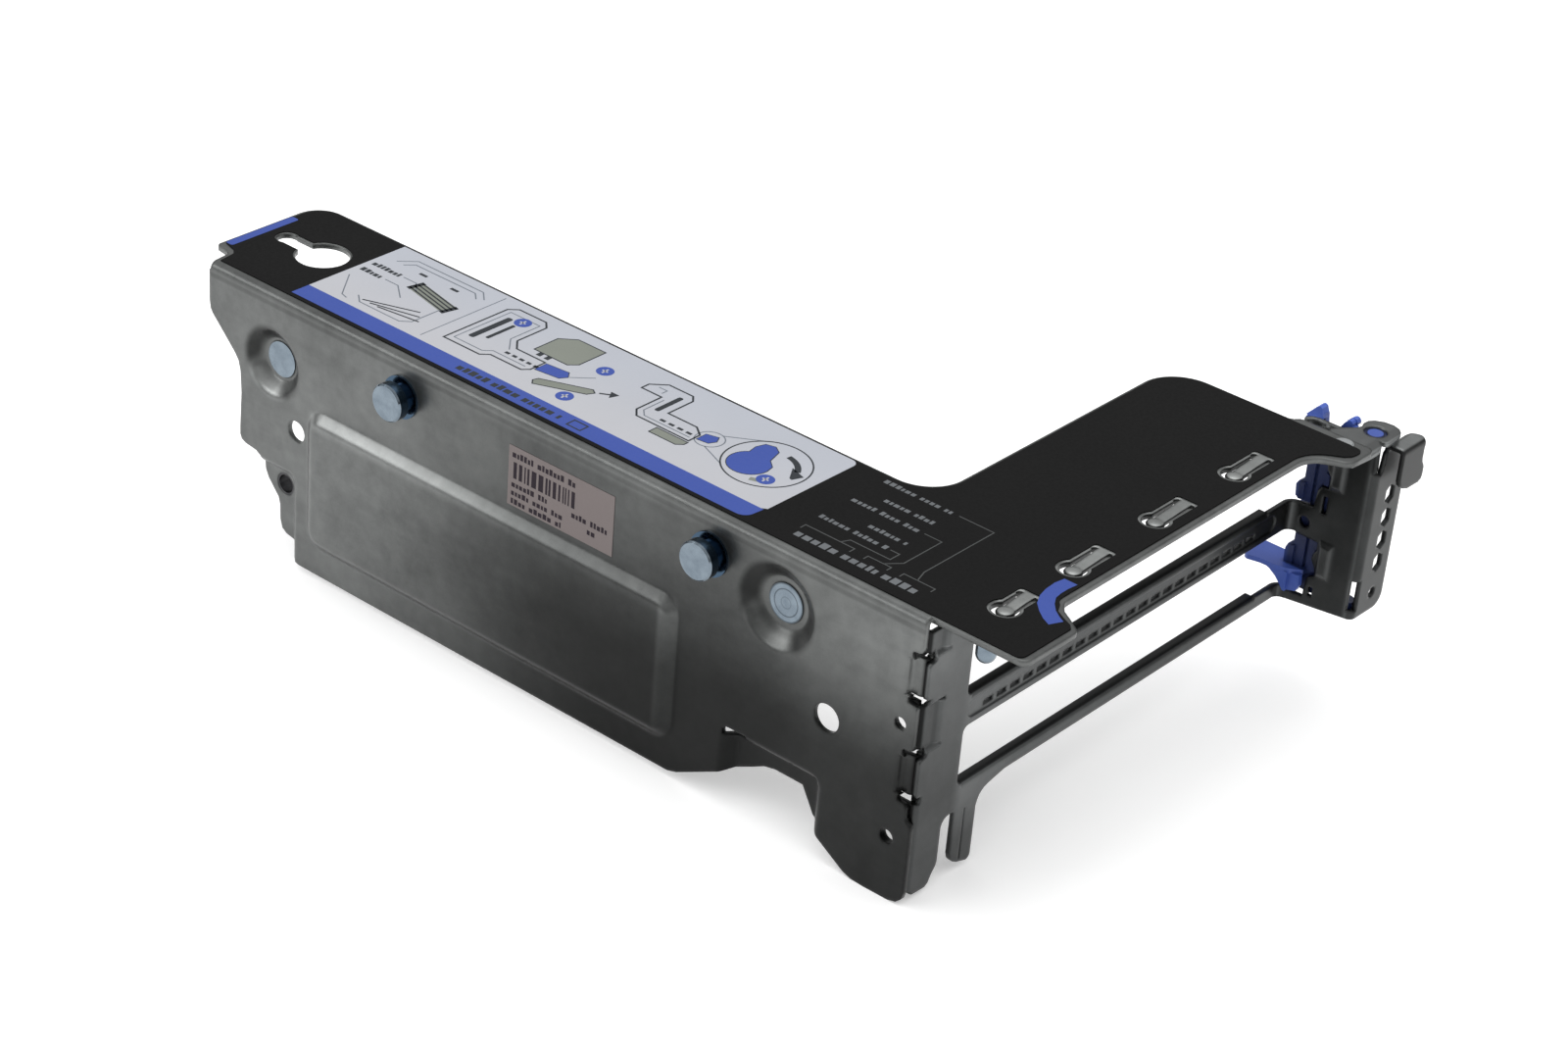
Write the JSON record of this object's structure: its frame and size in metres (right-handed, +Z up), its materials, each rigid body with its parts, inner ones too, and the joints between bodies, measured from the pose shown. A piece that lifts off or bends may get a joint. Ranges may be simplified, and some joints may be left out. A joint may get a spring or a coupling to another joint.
{
  "type": "riser cage bracket",
  "caption": "Folded sheet-metal riser cage with a long side wall, an L-shaped top plate, open card-slot frame and a pivoting plastic latch.",
  "frame": {"origin": "corner where the outer face of the side wall, the outer face of the slot frame and the upper face of the top plate meet", "axes": "+X along the side wall towards the slot end, +Y across the cage away from the side wall, +Z up"},
  "size_m": [0.2217, 0.1412, 0.0648],
  "materials": {
    "galvanised_sheet": "satin galvanised sheet",
    "slot_sheet": "satin galvanised sheet",
    "printed_film": "satin printed film",
    "paper_label": "matte",
    "zinc_fastener": "bright zinc plating",
    "nut_steel": "dark zinc plating",
    "rivet_steel": "bright steel",
    "blue_plastic": "moulded, satin"
  },
  "bodies": {
    "cage": {"main_bracket": "galvanised_sheet", "rear_bracket": "slot_sheet", "top_label": "printed_film", "side_label": "paper_label", "stud_front": "zinc_fastener", "stud_rear": "zinc_fastener", "standoff_front": "zinc_fastener", "standoff_rear": "zinc_fastener", "clinch_nut": "nut_steel", "locating_pin": "zinc_fastener", "ear_rivet": "rivet_steel"},
    "latch": {"latch": "blue_plastic"}
  },
  "joints": [
    {"name": "latch_pivot", "type": "hinge", "parent": "cage", "child": "latch", "pos_m": [0.0148, 0.1272, -0.022], "axis": [0, 0, -1], "range_deg": [0, 90]}
  ]
}
